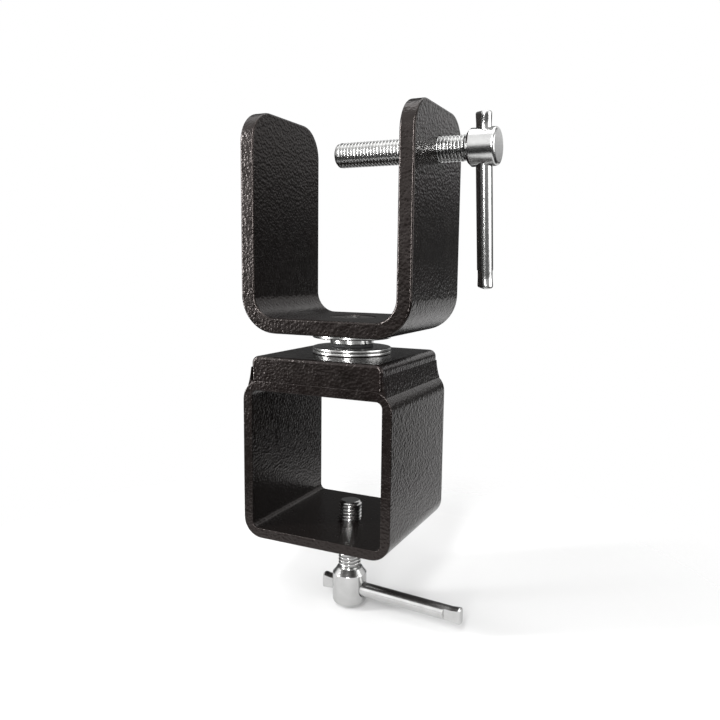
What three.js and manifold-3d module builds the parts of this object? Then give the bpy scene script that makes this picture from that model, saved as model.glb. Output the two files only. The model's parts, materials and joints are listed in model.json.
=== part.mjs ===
// Super clamp: a square sleeve that slips over a box tube and locks on it with a T-handle screw,
// and a U-shaped fork above it that swivels on a vertical pivot and clamps with a second screw.
//
// Frame: millimetres. The origin is the centre of the sleeve's square opening, +Y runs through
// the opening, +X points to the side that carries the fork's screw, +Z is up along the swivel.

import * as THREE from "three";
import { mergeVertices } from "three/addons/utils/BufferGeometryUtils.js";
import Module from "manifold-3d";

// ---- Driving dimensions -------------------------------------------------------------------

// The swivel pivot and the lower screw share one vertical axis, a little off the tube's middle.
const axisX = 2;

// Square tube of the sleeve.
const tube = { size: 80, wall: 5, cornerRadius: 10, innerRadius: 3, length: 72 };

// Thick plate welded on top of the sleeve, with a fillet weld down each side.
const plate = { width: 70, height: 12, topRadius: 3.5, weldHeight: 6.5 };

// Flat bar bent to a U.
const fork = {
  width: 90,
  thickness: 7.6,
  depth: 65,
  height: 106.9,
  innerBend: 11,
  topRadius: 16,
  screwHeight: 87.2,
};

// Washers between the plate and the fork: two plain ones on the plate, then the rest upwards.
const washer = { outerRadius: 20, innerRadius: 6.5, thickness: 1.7 };
const frictionWasher = { outerRadius: 10.8, innerRadius: 6.4, thickness: 1.5 };
const springWasher = { outerRadius: 11, innerRadius: 6.4, thickness: 2.9 };
const topWasher = { outerRadius: 20, innerRadius: 6.5, thickness: 2.85 };
const springSlit = { width: 1, slant: 0.25, azimuth: -0.47 };

// Countersunk pivot bolt and its self-locking nut, which sits in a pocket under the plate.
const bolt = { radius: 5.95, headRadius: 12, headHeight: 6.4, rim: 0.4, sink: 0.25, length: 35.3 };
const boltSocket = { acrossFlats: 8, depth: 4.5 };
const nut = { acrossFlats: 18, height: 8.6, collarRadius: 9, collarHeight: 3, boreRadius: 6.2 };
const nutRing = { outerRadius: 8.2, height: 2.6 };
const nutPocket = { radius: 12, web: 4.8 };

// Everything that the two hand screws have in common.
const thread = { radius: 6, holeRadius: 6.3 };
const point = { radius: 5.4, length: 2.6, chamfer: 1.7, gap: 0.3 };
const bar = {
  radius: 3.8,
  length: 80,
  holeRadius: 4.1,
  flatLength: 6.5,
  flatWidth: 9.2,
  flatThickness: 5.4,
};

// What differs: the upper screw is long, with a short hub, and its bar hangs a little tilted.
// out is the distance from the swivel axis or the sleeve to the hub's neck, barTurn (radians) is
// the bar's heading about the screw, and flatTurn (degrees) is how its pinched ends are rolled.
const upperScrew = {
  name: "upper",
  shank: 67.5,
  hub: { radius: 8.6, length: 13.8, neckRadius: 7.2, neckChamfer: 1.4, barDrop: 6.9 },
  out: 58.95,
  barTurn: Math.PI - 0.15,
  flatTurn: 55,
};
const lowerScrew = {
  name: "lower",
  shank: 36.5,
  hub: { radius: 9, length: 19.5, neckRadius: 6.6, neckChamfer: 3, barDrop: 11.1 },
  out: 22,
  barTurn: -0.09,
  flatTurn: 0,
};

// Clearances between pieces that lie on each other, and steps of a full circle.
const seat = 0.05;
const roundSteps = 48;
const smallSteps = 32;

// Heights worked out from the stack.
const plateBottom = tube.size / 2;
const plateTop = plateBottom + plate.height;
const lowerWasher1 = plateTop + seat;
const lowerWasher2 = lowerWasher1 + washer.thickness + seat;
const frictionBottom = lowerWasher2 + washer.thickness + seat;
const springBottom = frictionBottom + frictionWasher.thickness + seat;
const upperWasher = springBottom + springWasher.thickness + seat;
const forkBottom = upperWasher + topWasher.thickness + seat;
const forkFloor = forkBottom + fork.thickness;
const upperScrewZ = forkBottom + fork.screwHeight;

// ---- Materials ----------------------------------------------------------------------------

const finish = (color, roughness, metalness) => () =>
  new THREE.MeshStandardMaterial({ color, roughness, metalness });
const blackPaint = finish(0x1c1a19, 0.42, 0.1);
const brightZinc = finish(0xc9ccd0, 0.22, 1);
const blackSteel = finish(0x2b2b2d, 0.5, 0.8);
const nylon = finish(0xd8dade, 0.6, 0);
const blackFibre = finish(0x1a1a1b, 0.8, 0);

// ---- Solids: three.js shapes, joined and cut as closed bodies --------------------------------

const wasm = await Module();
wasm.setup();

// A closed three.js geometry as a solid.
function solid(geometry) {
  const bare = geometry.clone();
  bare.deleteAttribute("normal");
  bare.deleteAttribute("uv");
  const merged = mergeVertices(bare, 1e-4);
  return new wasm.Manifold(
    new wasm.Mesh({
      numProp: 3,
      vertProperties: merged.attributes.position.array,
      triVerts: new Uint32Array(merged.index.array),
    }),
  );
}

// A named mesh from a solid.
function piece(name, body, material) {
  const mesh = body.getMesh();
  const geometry = new THREE.BufferGeometry();
  geometry.setAttribute("position", new THREE.BufferAttribute(new Float32Array(mesh.vertProperties), 3));
  geometry.setIndex(new THREE.BufferAttribute(new Uint32Array(mesh.triVerts), 1));
  geometry.computeVertexNormals();
  const node = new THREE.Mesh(geometry, material);
  node.name = name;
  return node;
}

// A body of revolution about +Z from [radius, height] points that run upwards on the outside.
function turned(points, steps = roundSteps) {
  const profile = points.map(([radius, height]) => new THREE.Vector2(radius, height));
  return solid(new THREE.LatheGeometry(profile, steps).rotateX(Math.PI / 2));
}

function rod(radius, bottom, top, steps = roundSteps) {
  return turned([[0, bottom], [radius, bottom], [radius, top], [0, top]], steps);
}

function ring(innerRadius, outerRadius, bottom, top, steps = roundSteps) {
  return turned(
    [
      [innerRadius, bottom],
      [outerRadius, bottom],
      [outerRadius, top],
      [innerRadius, top],
      [innerRadius, bottom],
    ],
    steps,
  );
}

// A hexagonal prism on the Z axis.
function hexagon(acrossFlats, bottom, top) {
  return rod(acrossFlats / Math.sqrt(3), bottom, top, 6);
}

function block(width, depth, height) {
  return solid(new THREE.BoxGeometry(width, depth, height));
}

// An outline in X and Z, drawn out along Y about the XZ plane.
function drawnAlongY(shape, depth, curveSegments = 4) {
  const geometry = new THREE.ExtrudeGeometry(shape, { depth, curveSegments, bevelEnabled: false });
  return solid(geometry.rotateX(Math.PI / 2).translate(0, depth / 2, 0));
}

// An outline in Y and Z, drawn out along X about the YZ plane.
function drawnAlongX(shape, depth, curveSegments = 4) {
  const geometry = new THREE.ExtrudeGeometry(shape, { depth, curveSegments, bevelEnabled: false });
  return solid(geometry.rotateX(Math.PI / 2).rotateZ(Math.PI / 2).translate(-depth / 2, 0, 0));
}

function alongX(body) {
  return body.rotate([0, 90, 0]);
}

// ---- Sleeve and plate ------------------------------------------------------------------------

function roundedSquare(target, size, radius) {
  const flat = size / 2 - radius;
  target.absarc(flat, flat, radius, 0, Math.PI / 2);
  target.absarc(-flat, flat, radius, Math.PI / 2, Math.PI);
  target.absarc(-flat, -flat, radius, Math.PI, 1.5 * Math.PI);
  target.absarc(flat, -flat, radius, 1.5 * Math.PI, 2 * Math.PI);
  return target;
}

// The square tube, with a window for the nut in its roof and the lower screw's tapped hole.
function squareSleeve() {
  const outline = roundedSquare(new THREE.Shape(), tube.size, tube.cornerRadius);
  const inside = tube.size - 2 * tube.wall;
  outline.holes.push(roundedSquare(new THREE.Path(), inside, tube.innerRadius));
  const nutWindow = rod(nutPocket.radius, 0, tube.size).translate([axisX, 0, 0]);
  const screwHole = rod(thread.holeRadius, -tube.size, 0).translate([axisX, 0, 0]);
  return drawnAlongY(outline, tube.length).subtract(nutWindow).subtract(screwHole);
}

// The flat plate with rounded upper edges, the pivot's hole and the nut's pocket below it.
function swivelPlate() {
  const half = plate.width / 2;
  const radius = plate.topRadius;
  const outline = new THREE.Shape();
  outline.moveTo(-half, plateBottom + seat);
  outline.lineTo(half, plateBottom + seat);
  outline.absarc(half - radius, plateTop - radius, radius, 0, Math.PI / 2);
  outline.absarc(-half + radius, plateTop - radius, radius, Math.PI / 2, Math.PI);
  const hole = rod(washer.innerRadius, plateBottom - 1, plateTop + 1).translate([axisX, 0, 0]);
  const pocket = rod(nutPocket.radius, plateBottom - 1, plateTop - nutPocket.web);
  return drawnAlongY(outline, tube.length).subtract(hole).subtract(pocket.translate([axisX, 0, 0]));
}

// Fillet weld between a side of the plate and the tube's rounded shoulder, on the +X side.
function weldBead() {
  const flat = tube.size / 2 - tube.cornerRadius;
  const reach = tube.cornerRadius + seat;
  const side = plate.width / 2 + seat;
  const rootAngle = 1.4;
  const toeAngle = 0.8;
  const outline = new THREE.Shape();
  outline.moveTo(side, plateBottom);
  outline.lineTo(side, plateBottom + plate.weldHeight);
  outline.lineTo(side + 1.2, plateBottom + 1);
  outline.absarc(flat, flat, reach, toeAngle, rootAngle, false);
  outline.lineTo(flat + reach * Math.cos(rootAngle), plateBottom);
  return drawnAlongY(outline, tube.length, 5);
}

// ---- Pivot -----------------------------------------------------------------------------------

function pivotBolt() {
  const top = forkFloor - bolt.sink;
  const coneBottom = top - bolt.headHeight;
  const end = top - bolt.length;
  const body = turned([
    [0, end],
    [bolt.radius - 1, end],
    [bolt.radius, end + 1],
    [bolt.radius, coneBottom],
    [bolt.headRadius, top - bolt.rim],
    [bolt.headRadius, top],
    [0, top],
  ]);
  return body.subtract(hexagon(boltSocket.acrossFlats, top - boltSocket.depth, top + 1));
}

function pivotNut() {
  const top = plateTop - nutPocket.web - seat;
  const flange = top - nut.height;
  const collar = rod(nut.collarRadius, flange - nut.collarHeight, flange + 0.5, smallSteps);
  const bore = rod(nut.boreRadius, flange - nut.collarHeight - 1, top + 1);
  const ringRoom = rod(nutRing.outerRadius + seat, flange - nut.collarHeight - 1, flange - seat);
  return hexagon(nut.acrossFlats, flange, top).add(collar).subtract(bore).subtract(ringRoom);
}

function nutNylonRing() {
  const top = plateTop - nutPocket.web - seat - nut.height - 2 * seat;
  return ring(nut.boreRadius, nutRing.outerRadius, top - nutRing.height, top, smallSteps);
}

function flatWasher(size, bottom) {
  return ring(size.innerRadius, size.outerRadius, bottom, bottom + size.thickness);
}

// A stout split ring: the slit leans, as the coil's cut ends do.
function splitRing() {
  const { innerRadius, outerRadius, thickness } = springWasher;
  const whole = ring(innerRadius, outerRadius, springBottom, springBottom + thickness);
  const slit = block(outerRadius, springSlit.width, thickness * 2)
    .translate([outerRadius, 0, 0])
    .rotate([THREE.MathUtils.radToDeg(springSlit.slant), 0, 0])
    .rotate([0, 0, THREE.MathUtils.radToDeg(springSlit.azimuth)])
    .translate([0, 0, springBottom + thickness / 2]);
  return whole.subtract(slit);
}

// ---- Fork ------------------------------------------------------------------------------------

// A U in X and Z about the swivel axis, its leg tops rounded across the bar's width.
function uBracket() {
  const half = fork.width / 2;
  const inner = half - fork.thickness;
  const outerBend = fork.innerBend + fork.thickness;
  const top = forkBottom + fork.height;
  const outline = new THREE.Shape();
  outline.moveTo(-half, top);
  outline.lineTo(-half, forkBottom + outerBend);
  outline.absarc(-half + outerBend, forkBottom + outerBend, outerBend, Math.PI, 1.5 * Math.PI);
  outline.absarc(half - outerBend, forkBottom + outerBend, outerBend, 1.5 * Math.PI, 2 * Math.PI);
  outline.lineTo(half, top);
  outline.lineTo(inner, top);
  const bend = fork.innerBend;
  outline.absarc(inner - bend, forkFloor + bend, bend, 0, 1.5 * Math.PI, true);
  outline.absarc(-inner + bend, forkFloor + bend, bend, 1.5 * Math.PI, Math.PI, true);
  outline.lineTo(-inner, top);

  const side = new THREE.Shape();
  const edge = fork.depth / 2;
  const corner = fork.topRadius;
  side.moveTo(-edge, forkBottom - 1);
  side.lineTo(edge, forkBottom - 1);
  side.absarc(edge - corner, top - corner, corner, 0, Math.PI / 2);
  side.absarc(-edge + corner, top - corner, corner, Math.PI / 2, Math.PI);

  const clearance = 0.3;
  const headTop = forkFloor - bolt.sink;
  const countersink = turned([
    [0, forkBottom - 1],
    [bolt.radius + clearance, forkBottom - 1],
    [bolt.radius + clearance, headTop - bolt.headHeight - 0.1],
    [bolt.headRadius + clearance, headTop - bolt.rim - 0.1],
    [bolt.headRadius + clearance, forkFloor + 1],
    [0, forkFloor + 1],
  ]);
  const screwHole = alongX(rod(thread.holeRadius, 0, fork.width)).translate([0, 0, upperScrewZ]);
  return drawnAlongY(outline, fork.depth)
    .intersect(drawnAlongX(side, fork.width + 2))
    .subtract(countersink)
    .subtract(screwHole);
}

// ---- Hand screws -----------------------------------------------------------------------------

// The screw stands point up on the Z axis, with the neck of its hub at z = 0.
function screwPoint({ shank }) {
  const bottom = shank - point.length;
  return turned(
    [
      [0, bottom],
      [point.radius, bottom],
      [point.radius, shank - point.chamfer],
      [point.radius - point.chamfer, shank],
      [0, shank],
    ],
    smallSteps,
  );
}

function screwSpindle({ shank, hub }) {
  const edge = 1.6;
  const body = turned([
    [0, -hub.length],
    [hub.radius - edge, -hub.length],
    [hub.radius, -hub.length + edge],
    [hub.radius, -hub.neckChamfer],
    [hub.neckRadius, 0],
    [thread.radius, 0],
    [thread.radius, shank - point.length - point.gap],
    [0, shank - point.length - point.gap],
  ]);
  const barHole = alongX(rod(bar.holeRadius, -2 * hub.radius, 2 * hub.radius, smallSteps));
  return body.subtract(barHole.translate([0, 0, -hub.barDrop]));
}

// A round bar along X with a pinched flat at each end, pushed to the stop of its short side.
function tommyBar({ hub, flatTurn }) {
  const play = 0.3;
  const shortEnd = -(hub.radius + play + bar.flatLength);
  const longEnd = shortEnd + bar.length;
  const body = alongX(rod(bar.radius, shortEnd + 1, longEnd - 1, smallSteps));
  const flat = block(bar.flatLength, bar.flatThickness, bar.flatWidth);
  const nearFlat = flat.translate([shortEnd + bar.flatLength / 2, 0, 0]);
  const farFlat = flat.translate([longEnd - bar.flatLength / 2, 0, 0]);
  return body.add(nearFlat).add(farFlat).rotate([flatTurn, 0, 0]).translate([0, 0, -hub.barDrop]);
}

function handScrew(screw) {
  const group = new THREE.Group();
  group.add(piece(`${screw.name}_screw_point`, screwPoint(screw), brightZinc()));
  group.add(piece(`${screw.name}_screw_spindle`, screwSpindle(screw), brightZinc()));
  group.add(piece(`${screw.name}_tommy_bar`, tommyBar(screw), brightZinc()));
  group.rotation.z = screw.barTurn;
  const placed = new THREE.Group();
  placed.add(group);
  return placed;
}

// ---- The assembly ----------------------------------------------------------------------------

const superClamp = new THREE.Group();
superClamp.name = "super_clamp";

const rightWeld = weldBead();
superClamp.add(
  piece("square_sleeve", squareSleeve(), blackPaint()),
  piece("swivel_plate", swivelPlate(), blackPaint()),
  piece("right_weld_bead", rightWeld, blackPaint()),
  piece("left_weld_bead", rightWeld.mirror([1, 0, 0]), blackPaint()),
);

// Everything on the swivel axis.
const swivel = new THREE.Group();
swivel.position.x = axisX;
swivel.add(
  piece("pivot_bolt", pivotBolt(), blackSteel()),
  piece("pivot_nut", pivotNut(), brightZinc()),
  piece("nut_nylon_ring", nutNylonRing(), nylon()),
  piece("lower_washer_1", flatWasher(washer, lowerWasher1), brightZinc()),
  piece("lower_washer_2", flatWasher(washer, lowerWasher2), brightZinc()),
  piece("friction_washer", flatWasher(frictionWasher, frictionBottom), blackFibre()),
  piece("spring_washer", splitRing(), brightZinc()),
  piece("upper_washer", flatWasher(topWasher, upperWasher), brightZinc()),
  piece("u_bracket", uBracket(), blackPaint()),
);
superClamp.add(swivel);

// The lower screw points up through the sleeve's floor.
const lower = handScrew(lowerScrew);
lower.position.set(0, 0, -tube.size / 2 - lowerScrew.out);
swivel.add(lower);

// The upper screw points to -X through the fork's right leg.
const upper = handScrew(upperScrew);
upper.position.set(upperScrew.out, 0, upperScrewZ);
upper.rotation.y = -Math.PI / 2;
swivel.add(upper);

export default superClamp;
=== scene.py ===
"""Super clamp: a square sleeve with a locking hand screw, and a swivelling U fork with a second one.

Shapes are worked out in millimetres in the CAD frame and turned into metres as each piece is made.
"""

import json
import math

import bmesh
import bpy
from mathutils import Matrix, Vector


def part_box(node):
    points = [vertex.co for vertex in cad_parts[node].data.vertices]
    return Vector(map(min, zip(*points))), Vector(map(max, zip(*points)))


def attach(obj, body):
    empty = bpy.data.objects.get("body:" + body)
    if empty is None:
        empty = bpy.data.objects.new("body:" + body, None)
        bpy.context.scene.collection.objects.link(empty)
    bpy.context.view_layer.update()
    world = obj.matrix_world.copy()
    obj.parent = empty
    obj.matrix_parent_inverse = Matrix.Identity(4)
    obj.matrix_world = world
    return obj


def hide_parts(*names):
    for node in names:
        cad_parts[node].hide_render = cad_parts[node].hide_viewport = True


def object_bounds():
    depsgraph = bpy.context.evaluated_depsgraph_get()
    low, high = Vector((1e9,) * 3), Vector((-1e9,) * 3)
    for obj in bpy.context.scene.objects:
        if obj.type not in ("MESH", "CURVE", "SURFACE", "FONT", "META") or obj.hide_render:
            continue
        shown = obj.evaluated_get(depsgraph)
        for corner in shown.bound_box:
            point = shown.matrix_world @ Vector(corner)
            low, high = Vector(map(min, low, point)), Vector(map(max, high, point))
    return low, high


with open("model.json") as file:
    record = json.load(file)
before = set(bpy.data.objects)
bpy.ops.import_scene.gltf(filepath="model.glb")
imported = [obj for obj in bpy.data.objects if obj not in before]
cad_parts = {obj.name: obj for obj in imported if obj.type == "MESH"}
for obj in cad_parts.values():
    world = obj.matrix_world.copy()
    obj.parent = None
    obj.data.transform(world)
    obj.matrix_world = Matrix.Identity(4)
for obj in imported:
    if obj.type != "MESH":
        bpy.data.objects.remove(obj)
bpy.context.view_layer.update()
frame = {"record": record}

MM = 0.001
JOINTS = {joint["name"]: joint for joint in frame["record"]["behaviour"]["joints"]}

# ---- Driving dimensions, in millimetres ---------------------------------------------------------

TUBE = {"wall": 5, "radius": 10, "inner_radius": 3, "edge": 0.5}
NUT_WINDOW_RADIUS = 12
TAPPED_HOLE_RADIUS = 6.15
PLATE = {"top_radius": 3.5, "end_radius": 1.6, "hole_radius": 6.5, "web": 4.8}
BEAD = {
    "gap": 0.05,
    "height": 6.5,
    "toe_angle": 46,
    "belly": (1.1, 1.2),
    "bow": (0.8, 0.6),
    "ripple_pitch": 3.1,
    "ripple_height": 0.06,
    "end_drop": 0.35,
}
FORK = {"thickness": 7.6, "inner_bend": 11, "top_radius": 16, "edge": 1.1, "hole_edge": 0.35}
WASHER = {"inner_radius": 6.5, "edge": 0.55}
# The spring washer's cut ends lean by an angle in radians.
SPRING = {"inner_radius": 6.4, "edge": 0.45, "gap": 1.0, "azimuth": math.radians(-27), "lean": 0.25}
# The thin black ring under the spring washer is painted shade: it stands in for the shadow in the gap
# beneath the washer.
SHADE_RING = {"inner_radius": 6.4, "edge": 0.3}
BOLT = {
    "shank": 5.9,
    "thread_length": 16,
    "thread_depth": 1,
    "head_radius": 12,
    "head_height": 6.4,
    "rim": 0.6,
    "rim_chamfer": 0.35,
    "edge": 0.25,
    "seat_gap": 0.1,
    "side_gap": 0.25,
}
BOLT_SOCKET = {"across_flats": 8, "depth": 4.5}
NUT = {
    "across_flats": 18,
    "height": 8.6,
    "chamfer_radius": 0.4,
    "chamfer_height": 1.5,
    "collar_radius": 9,
    "collar_round": 1.6,
    "bore": 6.15,
    "core": 5,
    "edge": 0.18,
    "ring_gap": 0.03,
    "ring_edge": 0.3,
}
THREAD = {"pitch": 1.75, "crest": 6.02, "root": 5.0, "columns": 72, "runout": 0.6}
# Where the flank bends into the rounded crest: shares of the pitch beside the crest's middle and drops.
CREST_BENDS = ((0.19, 0.2), (0.12, 0.04), (0.05, 0.0))
TIP = {"flat_radius": 3.7, "round": 2.3, "gap": 0.02}
BAR = {
    "radius": 3.8,
    "length": 80,
    "hole": 4.05,
    "hub_gap": 6.8,
    "pinch_length": 8.3,
    "shoulder": 0.6,
    "flare": 5.0,
    "nose": 1.1,
    "flat_half_width": 4.5,
    "flat_half_thickness": 2.6,
}
UPPER_HUB = {
    "radius": 8.6,
    "length": 13.8,
    "neck_radius": 7.2,
    "neck_chamfer": 1.4,
    "end_radius": 1.5,
    "bar_drop": 6.9,
    "flat_turn": math.radians(50),
}
LOWER_HUB = {
    "radius": 9,
    "length": 19.5,
    "neck_radius": 6.6,
    "neck_chamfer": 3,
    "end_radius": 2.2,
    "bar_drop": 11.1,
    "flat_turn": 0,
}
NECK_ROUNDS = (0.35, 0.3)
ROUND = 96
# How far a cutting tool reaches past the face it cuts.
BEYOND = 5
# How far two bodies that are joined run into each other, and the hexagon's tool past the bolt's head.
OVERLAP = 1

# ---- Studio, in metres, degrees and watts -------------------------------------------------------

CAMERA = {
    "position": (0.16107, -0.32181, 0.09541),
    "yaw": 25.63,
    "pitch": 7.474,
    "roll": 0.648,
    "lens": 35.36,
}
FLOOR = {"radius": 0.26, "fade_from": 0.156, "drop": 0.002, "tones": (0.37, 0.4), "glow": 0.1}
# Each side of the studio: its direction, the cosines where its brightness starts and is full, and both
# levels. The backdrop is judged by its bearing alone and has a dark gap at fork height, between "under"
# and "over". The corner is lit only where "over" is, and "below" dims the right and the upper side.
STUDIO = {
    "right": ((1.0, -0.45, 0.1), 0.3, 0.7, 0.06, 0.6),
    "above": ((-0.35, -0.45, 0.82), 0.42, 0.7, 0.1, 1.4),
    "backdrop": ((0.13, 1.0, 0.0), 0.959, 0.975, 0.0, 1.0),
    "corner": ((0.75, 0.65, 0.2), 0.85, 0.95, 0.0, 0.9),
    "over": ((0.0, 0.0, 1.0), 0.09, 0.2, 0.05, 1.0),
    "under": ((0.0, 0.0, -1.0), 0.04, 0.1, 0.05, 1.0),
    "below": ((0.0, 0.0, 1.0), -0.2, -0.02, 0.2, 1.0),
}
# Each softbox: its place, its width and height, and its power. All of them face the sleeve.
LIGHTS = {
    "overhead": ((0.1, 0.1, 0.95), (0.9, 0.9), 5),
    "right": ((0.95, 0.1, 0.3), (0.7, 0.7), 5),
    "front_strip": ((0.23, -1.08, 0.5), (0.16, 1.2), 30),
    "left_strip": ((-0.85, -0.6, 0.3), (0.12, 0.8), 26),
}
LIT_POINT = (0, 0, 0.04)

# ---- Places, from the CAD frame -----------------------------------------------------------------


def extent(node):
    """Lowest and highest corner of a CAD node in millimetres."""
    low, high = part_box(node)
    return low / MM, high / MM


def centre(node):
    low, high = extent(node)
    return (low + high) / 2


SWIVEL = centre("u_bracket").to_2d().to_3d()


# ---- Outlines -----------------------------------------------------------------------------------


def arc(middle, radius, start, end, steps):
    """Points on an arc in the plane, both ends included, angles in degrees."""
    angles = [math.radians(start + (end - start) * k / steps) for k in range(steps + 1)]
    return [Vector((middle[0] + radius * math.cos(a), middle[1] + radius * math.sin(a))) for a in angles]


def rounded(corners, steps):
    """A closed outline whose corners, given as (x, y, radius), are turned into arcs."""
    points = []
    for index, (x, y, radius) in enumerate(corners):
        here = Vector((x, y))
        if radius == 0:
            points.append(here)
            continue
        before = (Vector(corners[index - 1][:2]) - here).normalized()
        after = (Vector(corners[(index + 1) % len(corners)][:2]) - here).normalized()
        half = before.angle(after) / 2
        middle = here + (before + after).normalized() * (radius / math.sin(half))
        first = here + before * (radius / math.tan(half)) - middle
        last = here + after * (radius / math.tan(half)) - middle
        start = math.atan2(first.y, first.x)
        turn = (math.atan2(last.y, last.x) - start + math.pi) % (2 * math.pi) - math.pi
        points += arc(middle, radius, math.degrees(start), math.degrees(start + turn), steps)
    return points


def rounded_square(half, radius):
    return rounded([(half * x, half * y, radius) for x, y in ((1, -1), (1, 1), (-1, 1), (-1, -1))], 10)


def rounded_box(left, right, bottom, top, radii, steps=1):
    """A rectangle with a radius for each corner, from the lower left one round to the upper left one."""
    corners = ((left, bottom), (right, bottom), (right, top), (left, top))
    return rounded([(x, y, radius) for (x, y), radius in zip(corners, radii)], steps)


def hexagon(across_flats):
    return arc((0, 0), across_flats / math.sqrt(3), 30, 330, 5)


# ---- Meshes -------------------------------------------------------------------------------------


def skin(rings, ends="closed"):
    """A mesh from rings of points. The end rings are filled, or joined to each other if ends says so."""
    mesh = bmesh.new()
    loops = [[mesh.verts.new(point) for point in ring] for ring in rings]
    pairs = list(zip(loops, loops[1:]))
    if ends == "joined":
        pairs.append((loops[-1], loops[0]))
    for lower, upper in pairs:
        for i in range(len(lower)):
            j = (i + 1) % len(lower)
            mesh.faces.new((lower[i], lower[j], upper[j], upper[i]))
    if ends == "closed":
        mesh.faces.new(reversed(loops[0]))
        mesh.faces.new(loops[-1])
    return cleaned(mesh)


def cleaned(mesh):
    bmesh.ops.remove_doubles(mesh, verts=mesh.verts, dist=1e-4)
    bmesh.ops.dissolve_degenerate(mesh, edges=mesh.edges, dist=1e-4)
    bmesh.ops.recalc_face_normals(mesh, faces=mesh.faces)
    return mesh


def drawn(outline, low, high, along):
    """An outline drawn out from low to high along one axis of the frame."""
    place = {
        "x": lambda p, d: Vector((d, p.x, p.y)),
        "y": lambda p, d: Vector((p.x, d, p.y)),
        "z": lambda p, d: Vector((p.x, p.y, d)),
    }[along]
    return skin([[place(p, distance) for p in outline] for distance in (low, high)])


def turned(profile, columns=ROUND, ends="closed"):
    """A body of revolution about Z from an outline of radius and height."""
    angles = [2 * math.pi * k / columns for k in range(columns)]
    rings = [[Vector((r * math.cos(a), r * math.sin(a), z)) for a in angles] for r, z in profile]
    return skin(rings, ends)


def rod(radius, low, high, columns=ROUND):
    return turned([(radius, low), (radius, high)], columns)


def turned_ring(inner, outer, low, high, edge):
    """A flat ring with rounded edges."""
    return turned(rounded_box(inner, outer, low, high, (edge / 2, edge, edge, edge / 2), 4), ends="joined")


def moved(mesh, matrix):
    bmesh.ops.transform(mesh, matrix=matrix, verts=mesh.verts)
    return mesh


def shifted(mesh, offset):
    return moved(mesh, Matrix.Translation(offset))


def as_object(name, mesh):
    data = bpy.data.meshes.new(name)
    mesh.to_mesh(data)
    mesh.free()
    made = bpy.data.objects.new(name, data)
    bpy.context.scene.collection.objects.link(made)
    return made


def apply_modifiers(piece):
    depsgraph = bpy.context.evaluated_depsgraph_get()
    data = bpy.data.meshes.new_from_object(piece.evaluated_get(depsgraph))
    piece.modifiers.clear()
    piece.data = data
    data.name = piece.name


def combine(piece, mesh, operation):
    """Cuts, joins or intersects a piece with another closed mesh."""
    tool = as_object("tool", mesh)
    boolean = piece.modifiers.new("boolean", "BOOLEAN")
    boolean.operation = operation
    boolean.solver = "EXACT"
    boolean.object = tool
    apply_modifiers(piece)
    bpy.data.objects.remove(tool)


def soften(piece, width, segments=3, angle=40):
    """Rounds every edge sharper than the angle."""
    bevel = piece.modifiers.new("bevel", "BEVEL")
    bevel.width = width
    bevel.segments = segments
    bevel.limit_method = "ANGLE"
    bevel.angle_limit = math.radians(angle)
    bevel.miter_outer = "MITER_ARC"
    apply_modifiers(piece)


def shade(piece, angle):
    """Smooth shading that stays flat on the large faces and breaks at sharp edges."""
    piece.data.shade_smooth()
    piece.data.set_sharp_from_angle(angle=math.radians(angle))
    weighted = piece.modifiers.new("normals", "WEIGHTED_NORMAL")
    weighted.keep_sharp = True
    weighted.weight = 60
    apply_modifiers(piece)


def finish(piece, node, body, material, angle=38):
    """Turns a piece from millimetres into metres, shades it and puts it in its CAD node's place."""
    piece.data.transform(Matrix.Scale(MM, 4))
    shade(piece, angle)
    piece.data.materials.clear()
    piece.data.materials.append(material)
    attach(piece, body)
    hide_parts(node)


# ---- Materials ----------------------------------------------------------------------------------


class Surface:
    """A Principled material with helpers for procedural detail measured in millimetres."""

    def __init__(self, name, metallic=0.0, **sockets):
        self.material = bpy.data.materials.new(name)
        self.material.use_nodes = True
        self.tree = self.material.node_tree
        self.shader = self.tree.nodes["Principled BSDF"]
        self.shader.inputs["Metallic"].default_value = metallic
        for socket, value in sockets.items():
            self.shader.inputs[socket.replace("_", " ")].default_value = value
        self.coordinates = self.tree.nodes.new("ShaderNodeTexCoord").outputs["Object"]

    def node(self, kind, **inputs):
        made = self.tree.nodes.new(kind)
        for socket, value in inputs.items():
            target = made.inputs[socket.replace("_", " ")]
            if isinstance(value, bpy.types.NodeSocket):
                self.tree.links.new(value, target)
            else:
                target.default_value = value
        return made

    def noise(self, size, detail=3.0):
        inputs = {"Scale": 1 / (size * MM), "Detail": detail, "Roughness": 0.55}
        return self.node("ShaderNodeTexNoise", Vector=self.coordinates, **inputs).outputs["Fac"]

    def pebbles(self, size, vector=None, smoothness=0.6):
        """Soft round cells. The distance from a cell's middle serves as its height."""
        made = self.node("ShaderNodeTexVoronoi")
        made.feature = "SMOOTH_F1"
        made.inputs["Scale"].default_value = 1 / (size * MM)
        made.inputs["Smoothness"].default_value = smoothness
        self.tree.links.new(vector or self.coordinates, made.inputs["Vector"])
        return made.outputs["Distance"]

    def mapped(self, value, low, high, from_low=0.3, from_high=0.7):
        """A value carried from one range to another, by default from the middle of a noise's range."""
        levels = {"From Min": from_low, "From Max": from_high, "To Min": low, "To Max": high}
        return self.node("ShaderNodeMapRange", Value=value, **levels).outputs["Result"]

    def mixed(self, factor, first, second):
        made = self.node("ShaderNodeMix")
        made.data_type = "RGBA"
        self.tree.links.new(factor, made.inputs["Factor"])
        for name, colour in (("A", first), ("B", second)):
            target = [socket for socket in made.inputs if socket.name == name and socket.type == "RGBA"][0]
            target.default_value = (*colour, 1)
        return [socket for socket in made.outputs if socket.type == "RGBA"][0]

    def bump(self, height, depth, under=None):
        """A normal raised by the height times the depth, on top of the normal of another bump."""
        made = self.node("ShaderNodeBump", Strength=1.0, Distance=depth * MM, Height=height)
        if under is not None:
            self.tree.links.new(under, made.inputs["Normal"])
        return made.outputs["Normal"]

    def link(self, value, socket):
        self.tree.links.new(value, self.shader.inputs[socket])


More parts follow.
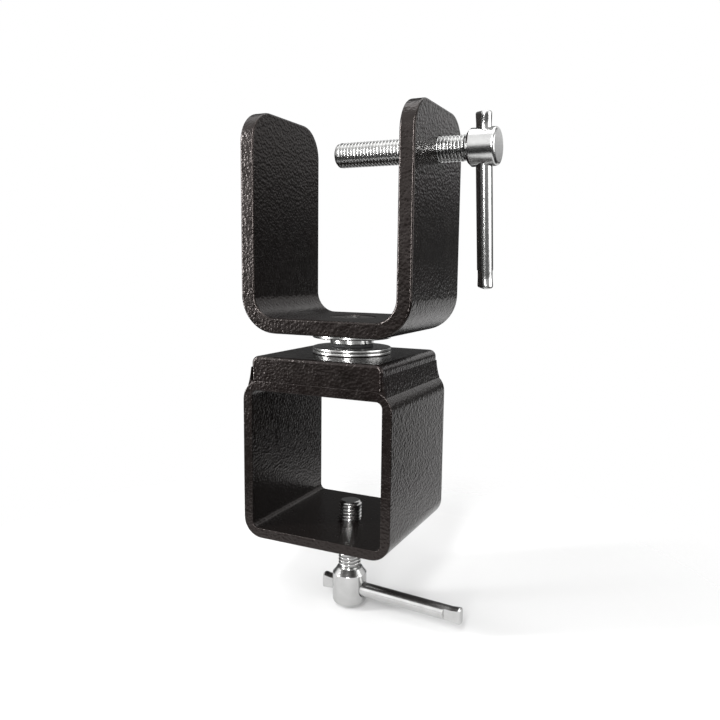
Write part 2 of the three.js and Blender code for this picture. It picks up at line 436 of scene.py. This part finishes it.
def hammertone_paint():
    """Black powder coat with a pebbled skin: soft round cells a little over a millimetre across."""
    surface = Surface("black_paint", IOR=1.36, Specular_Tint=(1.0, 0.88, 0.84, 1.0))
    swirl = surface.node("ShaderNodeTexNoise", Vector=surface.coordinates, Scale=1 / (2.2 * MM), Detail=2.0)
    warped = surface.node("ShaderNodeVectorMath")
    warped.operation = "MULTIPLY_ADD"
    surface.tree.links.new(swirl.outputs["Color"], warped.inputs[0])
    warped.inputs[1].default_value = (0.7 * MM,) * 3
    surface.tree.links.new(surface.coordinates, warped.inputs[2])
    pebbles = surface.pebbles(1.35, warped.outputs["Vector"], 0.5)
    tone = surface.mapped(surface.noise(22, 4.0), 0, 1)
    surface.link(surface.mixed(tone, (0.0022, 0.0017, 0.0015), (0.0036, 0.0027, 0.0025)), "Base Color")
    surface.link(surface.mapped(surface.noise(5), 0.17, 0.28), "Roughness")
    coarse = surface.bump(pebbles, 0.15)
    surface.link(surface.bump(surface.noise(0.6, 2.0), 0.03, under=coarse), "Normal")
    return surface.material


def bright_zinc(name, roughness, colour):
    """Bright zinc plate: satin reflections, a faint cloudiness and a fine grain."""
    surface = Surface(name, metallic=1.0)
    cloud = surface.mapped(surface.noise(7, 5.0), 0, 1)
    darker = tuple(0.84 * channel for channel in colour)
    surface.link(surface.mixed(cloud, darker, colour), "Base Color")
    grain = surface.noise(0.35)
    surface.link(surface.mapped(grain, *roughness), "Roughness")
    ripple = surface.bump(surface.noise(4.5, 1.0), 0.03)
    surface.link(surface.bump(grain, 0.008, under=ripple), "Normal")
    return surface.material


def black_bolt():
    """Black oxide under a thin skin of paint."""
    surface = Surface("black_bolt")
    speckle = surface.mapped(surface.noise(3.5, 4.0), 0, 1, 0.45, 0.62)
    surface.link(surface.mixed(speckle, (0.012, 0.011, 0.011), (0.04, 0.038, 0.036)), "Base Color")
    surface.link(surface.mapped(surface.noise(2.0), 0.3, 0.5), "Roughness")
    surface.link(surface.bump(surface.pebbles(1.9), 0.16), "Normal")
    return surface.material


def plastic_or_painted_shade(name, light, dark, roughness, size):
    """Nylon, or the near-black ring of painted shade under the spring washer: a soft mottled colour and a
    fine grain.
    """
    surface = Surface(name)
    surface.link(surface.mixed(surface.mapped(surface.noise(size, 4.0), 0, 1), light, dark), "Base Color")
    surface.link(surface.mapped(surface.noise(size / 2), roughness - 0.08, roughness + 0.08), "Roughness")
    surface.link(surface.bump(surface.noise(0.4), 0.02), "Normal")
    return surface.material


PAINT = hammertone_paint()
ZINC = bright_zinc("zinc_screw", (0.15, 0.25), (0.53, 0.53, 0.525))
WASHER_ZINC = bright_zinc("zinc_washer", (0.18, 0.28), (0.58, 0.58, 0.57))
BLACK_BOLT = black_bolt()
NYLON = plastic_or_painted_shade("nylon", (0.6, 0.63, 0.68), (0.48, 0.5, 0.54), 0.5, 3)
# Painted shade: a near-black colour for the ring that stands in for the shadow under the spring washer.
PAINTED_SHADE_RING = plastic_or_painted_shade("black_fibre", (0.016, 0.016, 0.017), (0.007, 0.007, 0.007), 0.75, 1.5)


# ---- Sleeve, plate and welds --------------------------------------------------------------------


def square_sleeve():
    """The tube's wall has a rounded profile that is carried round the square."""
    low, high = extent("square_sleeve")
    half = high.x
    wall, edge = TUBE["wall"], TUBE["edge"]
    tightening = (TUBE["radius"] - TUBE["inner_radius"]) / wall
    profile = rounded_box(0, wall, low.y, high.y, (edge,) * 4, 4)
    rings = [
        [Vector((p.x, y, p.y)) for p in rounded_square(half - depth, TUBE["radius"] - depth * tightening)]
        for depth, y in profile
    ]
    piece = as_object("square_sleeve_tube", skin(rings, "joined"))
    combine(piece, shifted(rod(NUT_WINDOW_RADIUS, 0, half + BEYOND), SWIVEL), "DIFFERENCE")
    combine(piece, shifted(rod(TAPPED_HOLE_RADIUS, -half - BEYOND, 0), SWIVEL), "DIFFERENCE")
    soften(piece, edge, 2)
    finish(piece, "square_sleeve", "sleeve", PAINT)


def swivel_plate():
    """The upper edges are rounded. The lower ones stay sharp where they meet the tube."""
    low, high = extent("swivel_plate")
    radius = PLATE["top_radius"]
    foot = low.z - 2 * PLATE["end_radius"]
    outline = rounded_box(low.x, high.x, foot, high.z, (0, 0, radius, radius), 8)
    piece = as_object("swivel_plate_block", drawn(outline, low.y, high.y, "y"))
    soften(piece, PLATE["end_radius"], 4)
    around = rounded_box(low.x - BEYOND, high.x + BEYOND, low.y - BEYOND, high.y + BEYOND, (0,) * 4)
    combine(piece, drawn(around, foot - BEYOND, low.z, "z"), "DIFFERENCE")
    hole = rod(PLATE["hole_radius"], low.z - BEYOND, high.z + BEYOND)
    combine(piece, shifted(hole, SWIVEL), "DIFFERENCE")
    nut_pocket = rod(NUT_WINDOW_RADIUS, low.z - BEYOND, high.z - PLATE["web"])
    combine(piece, shifted(nut_pocket, SWIVEL), "DIFFERENCE")
    finish(piece, "swivel_plate", "sleeve", PAINT)


def weld_bead(node, side):
    """A fillet between the plate's side and the tube's shoulder, with the faint ripples of the weld. Its
    face is a curve from the toe on the shoulder to the plate, and sinks a little at both ends."""
    low, high = extent(node)
    shoulder = extent("square_sleeve")[1].x - TUBE["radius"]
    radius = TUBE["radius"] + BEAD["gap"]
    inner = min(abs(low.x), abs(high.x))
    plate_side = extent("swivel_plate")[1].x + BEAD["gap"]
    plate_bottom = extent("swivel_plate")[0].z
    start = math.degrees(math.acos((inner - shoulder) / radius))
    under = arc((shoulder, shoulder), radius, start, BEAD["toe_angle"], 6)
    toe = under[-1]
    corner = Vector((plate_side, plate_bottom))
    belly = corner + Vector(BEAD["belly"])
    top = corner + Vector((0, BEAD["height"]))
    steps, stations, end_stations = 10, 145, 4
    rings = []
    for k in range(stations):
        y = low.y + (high.y - low.y) * k / (stations - 1)
        ripple = 1 - abs(math.sin(math.pi * (y - low.y) / BEAD["ripple_pitch"]))
        from_end = min(1.0, min(k, stations - 1 - k) / end_stations)
        swell = BEAD["ripple_height"] * ripple - BEAD["end_drop"] * (1 - from_end) ** 2
        face = []
        for i in range(1, steps):
            t = i / steps
            point = toe * (1 - t) ** 2 + belly * 2 * t * (1 - t) + top * t**2
            face.append(point + Vector(BEAD["bow"]) * swell * math.sin(math.pi * t))
        section = [*under, *face, top, corner]
        rings.append([Vector((side * p.x, y, p.y)) for p in section])
    piece = as_object(f"{node}_fillet", skin(rings))
    finish(piece, node, "sleeve", PAINT, 50)


# ---- Swivel -------------------------------------------------------------------------------------


def thread_mesh(low, high, limit):
    """A right-hand M12 thread from low to high, nowhere wider than limit(z). All threads about one axis
    share their start at z = 0, so that two lengths of one screw run on into each other."""
    pitch, crest, root, columns = (THREAD[size] for size in ("pitch", "crest", "root", "columns"))
    # Points along one pitch: how far along, as a share of it, and how far from the axis.
    crest_middle = 0.65
    profile = [(0.1, root), (0.2, root)]
    profile += [(crest_middle - share, crest - drop) for share, drop in CREST_BENDS]
    profile += [(crest_middle + share, crest - drop) for share, drop in reversed(CREST_BENDS)]
    first = math.floor(low / pitch) - 1
    turns = math.ceil(high / pitch) + 1 - first
    mesh = bmesh.new()
    grid = []
    for column in range(columns + 1):
        share = column / columns
        angle = 2 * math.pi * share
        line = []
        for step in range(turns * len(profile)):
            phase, radius = profile[step % len(profile)]
            z = pitch * (first + step // len(profile) + phase + share)
            inside = min(max(z, low), high)
            radius = min(radius, limit(inside))
            line.append(Vector((radius * math.cos(angle), radius * math.sin(angle), inside)))
        grid.append(line)
    verts = [[mesh.verts.new(point) for point in line] for line in grid]
    for left, right in zip(verts, verts[1:]):
        for step in range(len(left) - 1):
            mesh.faces.new((left[step], right[step], right[step + 1], left[step + 1]))
    bmesh.ops.remove_doubles(mesh, verts=mesh.verts, dist=2e-3)
    bmesh.ops.dissolve_degenerate(mesh, edges=mesh.edges, dist=1e-4)
    bmesh.ops.holes_fill(mesh, edges=[e for e in mesh.edges if e.is_boundary], sides=columns * 2)
    bmesh.ops.recalc_face_normals(mesh, faces=mesh.faces)
    return mesh


def pivot_bolt():
    low, high = extent("pivot_bolt")
    shank, core = BOLT["shank"], BOLT["shank"] - BOLT["thread_depth"]
    threaded_to = low.z + BOLT["thread_length"]
    profile = [
        (core, threaded_to - OVERLAP / 2),
        (shank, threaded_to + OVERLAP / 2),
        (shank, high.z - BOLT["head_height"]),
        (BOLT["head_radius"], high.z - BOLT["rim"]),
        (BOLT["head_radius"] - BOLT["rim_chamfer"], high.z),
    ]
    piece = as_object("pivot_bolt_countersunk", shifted(turned(profile), SWIVEL))
    hollow = hexagon(BOLT_SOCKET["across_flats"])
    socket = drawn(hollow, high.z - BOLT_SOCKET["depth"], high.z + OVERLAP, "z")
    combine(piece, shifted(socket, SWIVEL), "DIFFERENCE")
    soften(piece, BOLT["edge"], 2)
    thread = thread_mesh(low.z, threaded_to, lambda z: core + max(0, z - low.z))
    combine(piece, shifted(thread, SWIVEL), "UNION")
    finish(piece, "pivot_bolt", "sleeve", BLACK_BOLT)


def pivot_nut():
    """A hexagon with turned corners and the rolled collar that holds the nylon ring."""
    low, high = extent("pivot_nut")
    across = NUT["across_flats"]
    foot = high.z - NUT["height"]
    piece = as_object("pivot_nut_hexagon", shifted(drawn(hexagon(across), foot, high.z, "z"), SWIVEL))
    face = across / 2 - NUT["chamfer_radius"]
    corner = across / math.sqrt(3) + NUT["chamfer_radius"]
    chamfer = NUT["chamfer_height"]
    heights = (foot, foot + chamfer, high.z - chamfer, high.z)
    cone = [Vector(point) for point in zip((face, corner, corner, face), heights)]
    combine(piece, shifted(turned(cone), SWIVEL), "INTERSECT")
    collar_box = (NUT["core"], NUT["collar_radius"], low.z, foot + OVERLAP)
    collar = rounded_box(*collar_box, (0, NUT["collar_round"], 0, 0), 6)
    combine(piece, shifted(turned(collar), SWIVEL), "UNION")
    combine(piece, shifted(rod(NUT["bore"], low.z - BEYOND, high.z + BEYOND), SWIVEL), "DIFFERENCE")
    ring_low, ring_high = extent("nut_nylon_ring")
    ring_radius = (ring_high.x - ring_low.x) / 2
    ring_seat = rod(ring_radius + NUT["ring_gap"], low.z - BEYOND, ring_high.z + NUT["ring_gap"])
    combine(piece, shifted(ring_seat, SWIVEL), "DIFFERENCE")
    soften(piece, NUT["edge"], 2)
    finish(piece, "pivot_nut", "sleeve", WASHER_ZINC)


def washer_piece(node, body, inner, edge, material):
    """A ring round the swivel's axis that fills its CAD node's box."""
    low, high = extent(node)
    outer = (high.x - low.x) / 2
    mesh = turned_ring(inner, outer, low.z, high.z, edge)
    piece = as_object(f"{node}_ring", shifted(mesh, SWIVEL))
    finish(piece, node, body, material)


def spring_washer():
    """One turn of square wire whose cut ends lean and stand a little apart."""
    low, high = extent("spring_washer")
    outer = centre("spring_washer").x - low.x
    section = rounded_box(SPRING["inner_radius"], outer, low.z, high.z, (SPRING["edge"],) * 4, 4)
    middle = (low.z + high.z) / 2
    half_gap = SPRING["gap"] / 2 / outer
    rings = []
    for k in range(ROUND + 1):
        turn = half_gap + (2 * math.pi - 2 * half_gap) * k / ROUND
        ring = []
        for p in section:
            angle = SPRING["azimuth"] + turn - (p.y - middle) * math.tan(SPRING["lean"]) / outer
            ring.append(Vector((p.x * math.cos(angle), p.x * math.sin(angle), p.y)))
        rings.append(ring)
    piece = as_object("spring_washer_coil", shifted(skin(rings), SWIVEL))
    finish(piece, "spring_washer", "sleeve", WASHER_ZINC)


# ---- Fork ---------------------------------------------------------------------------------------


def fork_path(half, floor, top, depth, radius):
    """Half of the U's outline at a depth below the outer face, from the middle of the floor upwards."""
    bend = arc((half - radius, floor + radius), radius - depth, -90, 0, 12)
    return [Vector((0, floor + depth)), *bend, Vector((half - depth, top))]


def u_bracket():
    """The U seen from the front meets the rounded outline of a leg seen from the side. It is shaped about
    the swivel's axis and then moved there."""
    low, high = extent("u_bracket")
    half = (high.x - low.x) / 2
    thickness = FORK["thickness"]
    outer_bend = FORK["inner_bend"] + thickness
    outside = fork_path(half, low.z, high.z + BEYOND, 0, outer_bend)
    inside = fork_path(half, low.z, high.z + BEYOND, thickness, outer_bend)
    outline = [Vector((-p.x, p.y)) for p in reversed(outside[1:])] + outside
    outline += list(reversed(inside)) + [Vector((-p.x, p.y)) for p in inside[1:]]
    piece = as_object("u_bracket_bar", drawn(outline, low.y - BEYOND, high.y + BEYOND, "y"))
    top_radius = FORK["top_radius"]
    leg = rounded_box(low.y, high.y, low.z - BEYOND, high.z, (0, 0, top_radius, top_radius), 16)
    combine(piece, drawn(leg, -half - BEYOND, half + BEYOND, "x"), "INTERSECT")
    soften(piece, FORK["edge"], 4)
    head_top = extent("pivot_bolt")[1].z - BOLT["seat_gap"]
    shank_hole, head_hole = (BOLT[size] + BOLT["side_gap"] for size in ("shank", "head_radius"))
    countersink = [
        (shank_hole, low.z - BEYOND),
        (shank_hole, head_top - BOLT["head_height"]),
        (head_hole, head_top - BOLT["rim"]),
        (head_hole, high.z),
    ]
    combine(piece, turned(countersink), "DIFFERENCE")
    tapped = moved(rod(TAPPED_HOLE_RADIUS, 0, half + BEYOND), Matrix.Rotation(math.pi / 2, 4, "Y"))
    combine(piece, shifted(tapped, (0, 0, centre("upper_screw_spindle").z)), "DIFFERENCE")
    soften(piece, FORK["hole_edge"], 2)
    piece.data.transform(Matrix.Translation(SWIVEL))
    finish(piece, "u_bracket", "fork", PAINT)


# ---- Hand screws --------------------------------------------------------------------------------


def hub_mesh(hub):
    """The hub below z = 0, with a chamfered neck and a rounded end, round a thin core that is filled."""
    core, radius, end = 0.5, hub["radius"], -hub["length"]
    corners = [
        (core, end, 0),
        (radius, end, hub["end_radius"]),
        (radius, -hub["neck_chamfer"], NECK_ROUNDS[0]),
        (hub["neck_radius"], 0, NECK_ROUNDS[1]),
        (core, 0, 0),
    ]
    return turned(rounded(corners, 6), THREAD["columns"])


def bar_section(half_width, half_thickness, radius, steps=14):
    """A circle stretched sideways and cut off by two flats."""
    swing = math.degrees(math.asin(min(1.0, half_thickness / radius)))
    side = [Vector((p.x * half_width, p.y * radius)) for p in arc((0, 0), 1, -swing, swing, steps)]
    corner = side[-1]
    flat = [Vector((corner.x * (1 - 2 * t / 4), corner.y)) for t in (1, 2, 3)]
    half = side + flat
    return half + [-p for p in half]


def bar_mesh(short_end, long_end, flat_turn):
    """A round bar along X whose ends are pinched between two flats and broken at the corners. Each end is
    a row of sections, closest together over the nose and the shoulder."""
    radius, pinch_length, shoulder = BAR["radius"], BAR["pinch_length"], BAR["shoulder"]
    flare, nose = BAR["flare"], BAR["nose"]
    pinch = radius - BAR["flat_half_thickness"]
    spread = BAR["flat_half_width"] - radius
    distances = [0, 0.12, 0.3, 0.6, nose, 2, 3, 4, flare, flare + 1.5]
    distances += [pinch_length + shoulder * step / 4 for step in range(5)] + [pinch_length + 3]
    sections = []
    for distance in distances:
        rise = min(1.0, max(0.0, (distance - pinch_length) / shoulder))
        thickness = radius - pinch * (1 - rise)
        width = radius + spread * min(1.0, max(0.0, (flare - distance) / flare))
        inset = nose - math.sqrt(max(0.0, nose**2 - (nose - min(distance, nose)) ** 2))
        section = bar_section(width - inset, thickness - inset * 0.8, radius - inset)
        sections.append((distance, section))
    rings = [(short_end + d, s) for d, s in sections] + [(long_end - d, s) for d, s in reversed(sections)]
    mesh = skin([[Vector((x, p.y, p.x)) for p in section] for x, section in rings])
    return moved(mesh, Matrix.Rotation(flat_turn, 4, "X"))


def tip_radius(distance):
    """The screw's free end: a flat with a rounded shoulder that runs out into the thread."""
    shoulder = TIP["round"]
    down = shoulder - min(distance, shoulder)
    return TIP["flat_radius"] + math.sqrt(shoulder**2 - down**2)


def runout_radius(height):
    """The thread rises out of the shank's root just above the neck."""
    return THREAD["root"] + max(0.0, height - THREAD["runout"])


def middle_and_half(node, direction):
    """A node's middle and half of its length along a direction, in millimetres."""
    low, high = extent(node)
    return (low + high) / 2, abs((high - low).dot(direction)) / 2


def screw_placing(name, hub):
    """The matrix that puts a screw standing on Z, neck at 0 and bar along X, where its CAD nodes are, and
    the heights at which its spindle and its point end."""
    point_up = Vector(JOINTS[f"{name}_screw_feed"]["axis"]).normalized()
    along_bar = -Vector(JOINTS[f"{name}_bar_slide"]["axis"]).normalized()
    middle, half = middle_and_half(f"{name}_screw_spindle", point_up)
    neck = middle + point_up * (hub["length"] - half)
    point_middle, point_half = middle_and_half(f"{name}_screw_point", point_up)
    end = (point_middle - neck).dot(point_up) + point_half
    turn = Matrix((along_bar, point_up.cross(along_bar), point_up)).transposed().to_4x4()
    return Matrix.Translation(neck) @ turn, 2 * half - hub["length"], end


def hand_screw(name, hub):
    """A screw in three pieces: the hub with its threaded shank, the point that carries the thread on, and
    the bar."""
    placing, shank, end = screw_placing(name, hub)
    spindle = as_object(f"{name}_screw_spindle_threaded", hub_mesh(hub))
    bar_hole = rod(BAR["hole"], -2 * hub["radius"], 2 * hub["radius"], 48)
    bar_hole = moved(bar_hole, Matrix.Rotation(math.pi / 2, 4, "Y"))
    combine(spindle, shifted(bar_hole, (0, 0, -hub["bar_drop"])), "DIFFERENCE")
    combine(spindle, thread_mesh(-OVERLAP / 2, shank, runout_radius), "UNION")
    spindle.data.transform(placing)
    finish(spindle, f"{name}_screw_spindle", f"{name}_spindle", ZINC, 50)

    thread = thread_mesh(shank + TIP["gap"], end, lambda height: tip_radius(end - height))
    tip = as_object(f"{name}_screw_point_tip", thread)
    tip.data.transform(placing)
    finish(tip, f"{name}_screw_point", f"{name}_point", ZINC, 50)

    short_end = -(hub["radius"] + BAR["hub_gap"])
    long_end = short_end + BAR["length"]
    bar = as_object(f"{name}_tommy_bar_rod", bar_mesh(short_end, long_end, hub["flat_turn"]))
    bar.data.transform(placing @ Matrix.Translation((0, 0, -hub["bar_drop"])))
    finish(bar, f"{name}_tommy_bar", f"{name}_bar", ZINC, 30)


# ---- Camera, floor and light --------------------------------------------------------------------


def make_camera():
    """The camera looks along +Y, turned by the yaw about Z, tipped down by the pitch and then rolled."""
    yaw, pitch, roll = (math.radians(CAMERA[angle]) for angle in ("yaw", "pitch", "roll"))
    forward = Vector((-math.sin(yaw) * math.cos(pitch), math.cos(yaw) * math.cos(pitch), -math.sin(pitch)))
    level = Vector((math.cos(yaw), math.sin(yaw), 0))
    upright = level.cross(forward)
    across = level * math.cos(roll) + upright * math.sin(roll)
    up = upright * math.cos(roll) - level * math.sin(roll)
    data = bpy.data.cameras.new("camera")
    data.sensor_width = 36
    data.lens = CAMERA["lens"]
    data.clip_start = 0.01
    data.clip_end = 50
    camera = bpy.data.objects.new("camera", data)
    turn = Matrix((across, up, -forward)).transposed().to_4x4()
    camera.matrix_world = Matrix.Translation(CAMERA["position"]) @ turn
    bpy.context.scene.collection.objects.link(camera)
    bpy.context.scene.camera = camera


def make_floor():
    """A disc of pale paper whose rim fades into the backdrop."""
    low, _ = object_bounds()
    radius, place = FLOOR["radius"], (0, 0, low.z - FLOOR["drop"])
    bpy.ops.mesh.primitive_circle_add(vertices=128, radius=radius, fill_type="NGON", location=place)
    floor = bpy.context.object
    floor.name = "floor"
    surface = Surface("floor_paper", Roughness=0.9, Emission_Strength=FLOOR["glow"])
    darker, lighter = ((tone,) * 3 for tone in FLOOR["tones"])
    surface.link(surface.mixed(surface.noise(400, 2.0), darker, lighter), "Base Color")
    surface.shader.inputs["Emission Color"].default_value = (1, 1, 1, 1)
    away = surface.node("ShaderNodeVectorMath")
    away.operation = "LENGTH"
    surface.tree.links.new(surface.coordinates, away.inputs[0])
    surface.link(surface.mapped(away.outputs["Value"], 1, 0, FLOOR["fade_from"], radius), "Alpha")
    floor.data.materials.append(surface.material)


def make_world():
    """A studio that is bright on the right and above and dim elsewhere, with a lit backdrop and corner
    behind. The camera itself sees pure white."""
    world = bpy.data.worlds.new("studio")
    bpy.context.scene.world = world
    world.use_nodes = True
    tree = world.node_tree
    nodes, links = tree.nodes, tree.links
    background = nodes["Background"]
    direction = nodes.new("ShaderNodeTexCoord").outputs["Generated"]

    def vector_math(operation, first, second=None):
        made = nodes.new("ShaderNodeVectorMath")
        made.operation = operation
        links.new(first, made.inputs[0])
        if second is not None:
            made.inputs[1].default_value = second
        return made

    def facing(where, towards, low, high, dim, bright):
        product = vector_math("DOT_PRODUCT", where, Vector(towards).normalized())
        level = nodes.new("ShaderNodeMapRange")
        level.interpolation_type = "SMOOTHSTEP"
        links.new(product.outputs["Value"], level.inputs["Value"])
        for socket, value in (("From Min", low), ("From Max", high), ("To Min", dim), ("To Max", bright)):
            level.inputs[socket].default_value = value
        return level.outputs["Result"]

    def joined(operation, first, second):
        made = nodes.new("ShaderNodeMath")
        made.operation = operation
        links.new(first, made.inputs[0])
        links.new(second, made.inputs[1])
        return made.outputs["Value"]

    bearing = vector_math("NORMALIZE", vector_math("MULTIPLY", direction, (1, 1, 0)).outputs["Vector"])
    sides = joined("MAXIMUM", facing(direction, *STUDIO["right"]), facing(direction, *STUDIO["above"]))
    upper = joined("MULTIPLY", sides, facing(direction, *STUDIO["below"]))
    over = facing(direction, *STUDIO["over"])
    lit = joined("MAXIMUM", over, facing(direction, *STUDIO["under"]))
    backdrop = joined("MULTIPLY", facing(bearing.outputs["Vector"], *STUDIO["backdrop"]), lit)
    corner = joined("MULTIPLY", facing(direction, *STUDIO["corner"]), over)
    level = joined("MAXIMUM", upper, joined("MAXIMUM", backdrop, corner))
    camera_ray = nodes.new("ShaderNodeLightPath").outputs["Is Camera Ray"]
    links.new(joined("MAXIMUM", level, camera_ray), background.inputs["Strength"])
    background.inputs["Color"].default_value = (1, 1, 1, 1)


def softbox(name, position, size, watts):
    data = bpy.data.lights.new(name, "AREA")
    data.shape = "RECTANGLE"
    data.size, data.size_y = size
    data.energy = watts
    light = bpy.data.objects.new(name, data)
    light.location = position
    light.rotation_mode = "QUATERNION"
    light.rotation_quaternion = (Vector(LIT_POINT) - Vector(position)).to_track_quat("-Z", "Y")
    bpy.context.scene.collection.objects.link(light)


def make_lights():
    for name, light in LIGHTS.items():
        softbox(name, *light)
    bpy.context.scene.view_settings.view_transform = "Standard"


# ---- Assembly -----------------------------------------------------------------------------------

make_camera()
square_sleeve()
swivel_plate()
weld_bead("right_weld_bead", 1)
weld_bead("left_weld_bead", -1)
pivot_bolt()
pivot_nut()
washer_piece("nut_nylon_ring", "sleeve", NUT["bore"], NUT["ring_edge"], NYLON)
for washer in ("lower_washer_1", "lower_washer_2"):
    washer_piece(washer, "sleeve", WASHER["inner_radius"], WASHER["edge"], WASHER_ZINC)
# This black ring under the spring washer is painted shade, standing in for the shadowed gap beneath the
# washer.
washer_piece("friction_washer", "sleeve", SHADE_RING["inner_radius"], SHADE_RING["edge"], PAINTED_SHADE_RING)
spring_washer()
washer_piece("upper_washer", "fork", WASHER["inner_radius"], WASHER["edge"], WASHER_ZINC)
u_bracket()
hand_screw("upper", UPPER_HUB)
hand_screw("lower", LOWER_HUB)
make_floor()
make_world()
make_lights()
